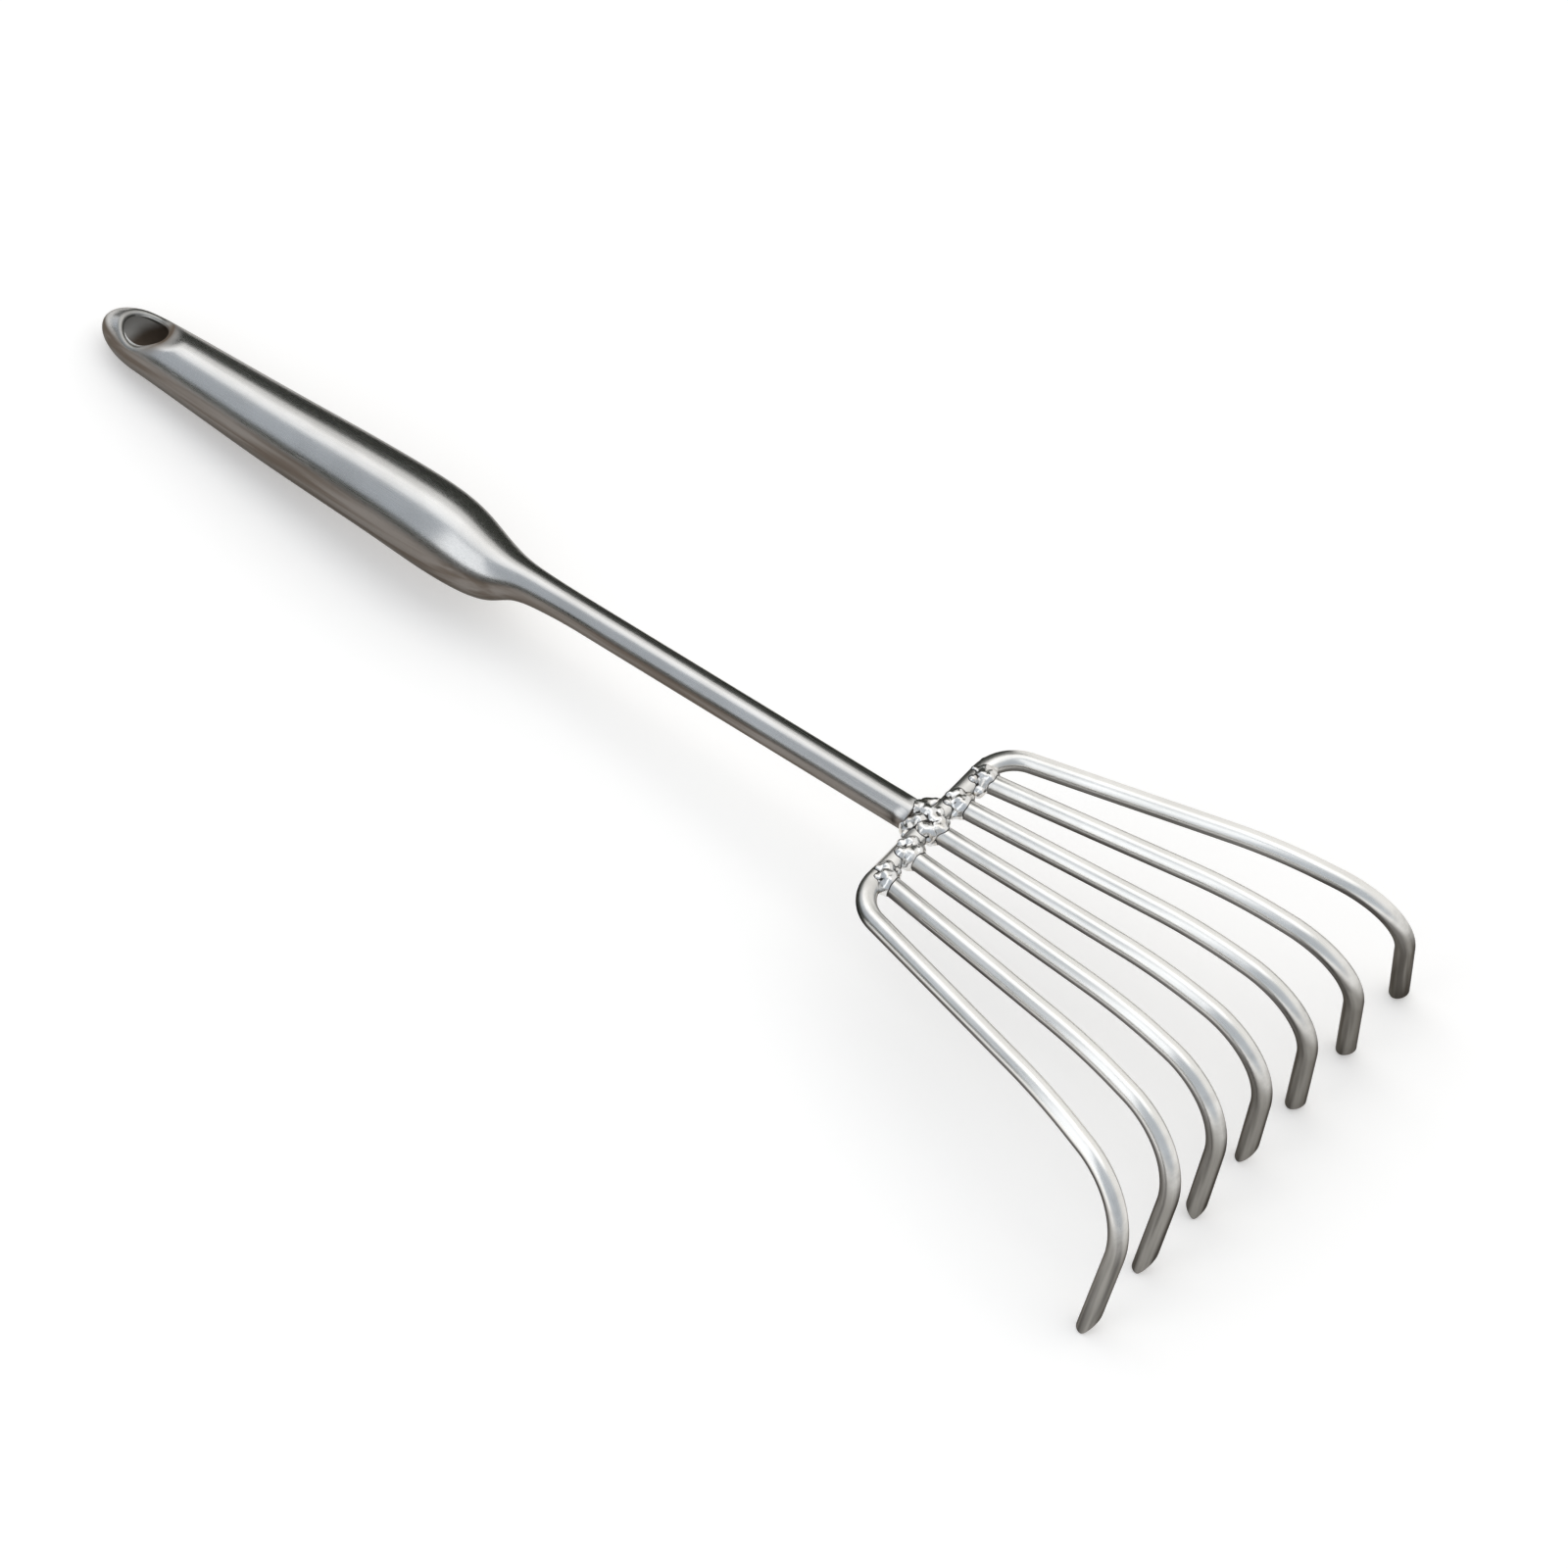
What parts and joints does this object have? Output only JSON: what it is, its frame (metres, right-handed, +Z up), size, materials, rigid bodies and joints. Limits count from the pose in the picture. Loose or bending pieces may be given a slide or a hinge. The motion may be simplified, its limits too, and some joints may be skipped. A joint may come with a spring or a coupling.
{
  "type": "garden hand rake",
  "caption": "One-hand garden rake: a hollow swaged grip and thin shaft, welded to a fan of round hooked tines, with an oval hanging eye in the grip's nose.",
  "frame": {"origin": "centre of the bounding box at its bottom, on the ground", "axes": "+X from the grip's nose to the tines, +Y to the rake's left, +Z up; the rake lies as it rests, on its tine tips and its nose"},
  "size_m": [0.4086, 0.1486, 0.0564],
  "materials": {
    "satin_steel": "satin polished",
    "weld_steel": "cleaned weld bead"
  },
  "bodies": {
    "root": {"handle_tube": "satin_steel", "outer_tine_frame": "satin_steel", "tine_left_middle": "satin_steel", "tine_left_inner": "satin_steel", "tine_centre": "satin_steel", "tine_right_inner": "satin_steel", "tine_right_middle": "satin_steel", "weld_left_middle": "weld_steel", "weld_left_inner": "weld_steel", "weld_right_inner": "weld_steel", "weld_right_middle": "weld_steel", "hub_weld": "weld_steel"}
  },
  "joints": []
}
